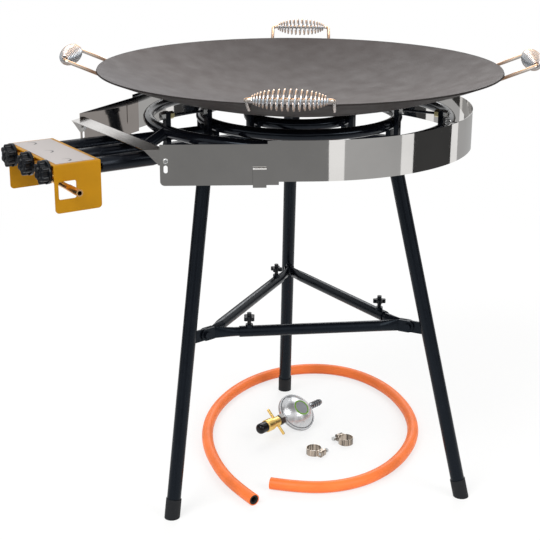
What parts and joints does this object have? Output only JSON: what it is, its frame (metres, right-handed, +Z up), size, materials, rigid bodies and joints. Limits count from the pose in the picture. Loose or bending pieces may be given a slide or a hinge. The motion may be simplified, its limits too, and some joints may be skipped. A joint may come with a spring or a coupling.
{
  "type": "griddle pan with gas burner",
  "caption": "Shallow dished griddle pan with spring-grip handles on a ringed gas burner, with a windshield, knobs, a braced tripod and a loose hose kit",
  "frame": {"origin": "on the floor, under the axis of the burner rings and the pan", "axes": "+Z up, -Y towards the control knobs, +X to the right of a cook who faces the knobs"},
  "size_m": [0.8212, 1.0063, 0.8956],
  "materials": {
    "pan_steel": "dark seasoned carbon steel, satin, with faint scouring marks",
    "handle_chrome": "bright chromed rod and coiled spring wire",
    "burner_black": "gloss black enamel",
    "zinc_steel": "bright zinc-plated steel",
    "shield_stainless": "mirror-polished stainless sheet",
    "bracket_yellow": "golden yellow gloss powder coat",
    "label_aluminium": "satin printed aluminium label, blank",
    "gas_brass": "turned brass",
    "knob_plastic": "moulded gloss black plastic",
    "tripod_black": "semi-gloss black powder coat",
    "cap_rubber": "moulded matte black rubber",
    "hose_rubber": "orange rubber gas hose with a satin skin",
    "regulator_diecast": "die-cast body with silver-grey paint"
  },
  "bodies": {
    "stand": {"burner_ring_outer": "burner_black", "burner_ring_middle": "burner_black", "burner_ring_inner": "burner_black", "venturi_tube_left": "burner_black", "venturi_tube_centre": "burner_black", "venturi_tube_right": "burner_black", "support_arm_front": "burner_black", "support_arm_right": "burner_black", "support_arm_back": "burner_black", "pan_posts": "burner_black", "tie_rods": "burner_black", "tie_rod_nuts": "zinc_steel", "shield_screws": "zinc_steel", "shield_hooks": "zinc_steel", "brace_bolts": "zinc_steel", "windshield_band": "shield_stainless", "windshield_flap_left": "shield_stainless", "windshield_flap_right": "shield_stainless", "shield_bridge": "shield_stainless", "control_bracket": "bracket_yellow", "label_plate": "label_aluminium", "gas_manifold": "gas_brass", "gas_taps": "gas_brass", "injectors": "gas_brass", "leg_front": "tripod_black", "leg_right": "tripod_black", "leg_back": "tripod_black", "brace_sleeve_front": "tripod_black", "brace_sleeve_right": "tripod_black", "brace_sleeve_back": "tripod_black", "brace_slider_front": "tripod_black", "brace_slider_right": "tripod_black", "brace_slider_back": "tripod_black", "foot_caps": "cap_rubber", "gas_hose": "hose_rubber"},
    "pan": {"pan_bowl": "pan_steel", "handle_bail_front": "handle_chrome", "handle_bail_right": "handle_chrome", "handle_bail_back": "handle_chrome", "handle_bail_left": "handle_chrome"},
    "grip_front": {"handle_spring_front": "handle_chrome"},
    "grip_right": {"handle_spring_right": "handle_chrome"},
    "grip_back": {"handle_spring_back": "handle_chrome"},
    "grip_left": {"handle_spring_left": "handle_chrome"},
    "tap_knob_left": {"knob_left": "knob_plastic", "tap_spindle_left": "zinc_steel"},
    "tap_knob_centre": {"knob_centre": "knob_plastic", "tap_spindle_centre": "zinc_steel"},
    "tap_knob_right": {"knob_right": "knob_plastic", "tap_spindle_right": "zinc_steel"},
    "brace_lock_front": {"lock_screw_front": "knob_plastic"},
    "brace_lock_right": {"lock_screw_right": "knob_plastic"},
    "brace_lock_back": {"lock_screw_back": "knob_plastic"},
    "regulator": {"regulator_body": "regulator_diecast", "regulator_tail": "regulator_diecast", "regulator_nose": "cap_rubber"},
    "wing_nut": {"regulator_wing_nut": "gas_brass"},
    "clips": {"clip_bands": "shield_stainless"},
    "clip_worm_1": {"clip_screw_1": "zinc_steel"},
    "clip_worm_2": {"clip_screw_2": "zinc_steel"}
  },
  "joints": [
    {"name": "pan_lift", "type": "slide", "parent": "stand", "child": "pan", "axis": [0, 0, 1], "range_m": [0, 0.25]},
    {"name": "grip_front_spin", "type": "hinge", "parent": "pan", "child": "grip_front", "pos_m": [0.3667, -0.26937, 0.87661], "axis": [0.592, 0.8059, 0], "continuous": true},
    {"name": "grip_right_spin", "type": "hinge", "parent": "pan", "child": "grip_right", "pos_m": [0.26422, 0.37042, 0.87661], "axis": [-0.8141, 0.5807, 0], "continuous": true},
    {"name": "grip_back_spin", "type": "hinge", "parent": "pan", "child": "grip_back", "pos_m": [-0.37498, 0.25771, 0.87609], "axis": [-0.5664, -0.8241, 0], "continuous": true},
    {"name": "grip_left_spin", "type": "hinge", "parent": "pan", "child": "grip_left", "pos_m": [-0.26422, -0.37042, 0.87661], "axis": [0.8141, -0.5807, 0], "continuous": true},
    {"name": "knob_left_turn", "type": "hinge", "parent": "stand", "child": "tap_knob_left", "pos_m": [-0.076, -0.572, 0.7355], "axis": [0, -1, 0], "range_deg": [0, 180]},
    {"name": "knob_centre_turn", "type": "hinge", "parent": "stand", "child": "tap_knob_centre", "pos_m": [0, -0.572, 0.7355], "axis": [0, -1, 0], "range_deg": [0, 180]},
    {"name": "knob_right_turn", "type": "hinge", "parent": "stand", "child": "tap_knob_right", "pos_m": [0.076, -0.572, 0.7355], "axis": [0, -1, 0], "range_deg": [0, 180]},
    {"name": "brace_lock_front_turn", "type": "hinge", "parent": "stand", "child": "brace_lock_front", "pos_m": [0.06794, -0.16048, 0.353], "axis": [0, 0, 1], "continuous": true},
    {"name": "brace_lock_right_turn", "type": "hinge", "parent": "stand", "child": "brace_lock_right", "pos_m": [0.12629, 0.12006, 0.353], "axis": [0, 0, 1], "continuous": true},
    {"name": "brace_lock_back_turn", "type": "hinge", "parent": "stand", "child": "brace_lock_back", "pos_m": [-0.16323, 0.0552, 0.353], "axis": [0, 0, 1], "continuous": true},
    {"name": "regulator_lift", "type": "slide", "parent": "stand", "child": "regulator", "axis": [0, 0, 1], "range_m": [0, 0.2]},
    {"name": "wing_nut_turn", "type": "hinge", "parent": "regulator", "child": "wing_nut", "pos_m": [-0.11192, 0.01147, 0.03505], "axis": [0.2419, -0.9703, 0], "continuous": true},
    {"name": "clips_lift", "type": "slide", "parent": "stand", "child": "clips", "axis": [0, 0, 1], "range_m": [0, 0.2]},
    {"name": "clip_worm_1_turn", "type": "hinge", "parent": "clips", "child": "clip_worm_1", "pos_m": [0.02407, 0.0547, 0.00755], "axis": [-0.3584, 0.9336, 0], "continuous": true},
    {"name": "clip_worm_2_turn", "type": "hinge", "parent": "clips", "child": "clip_worm_2", "pos_m": [-0.02142, 0.13513, 0.00755], "axis": [0.0872, -0.9962, 0], "continuous": true}
  ]
}
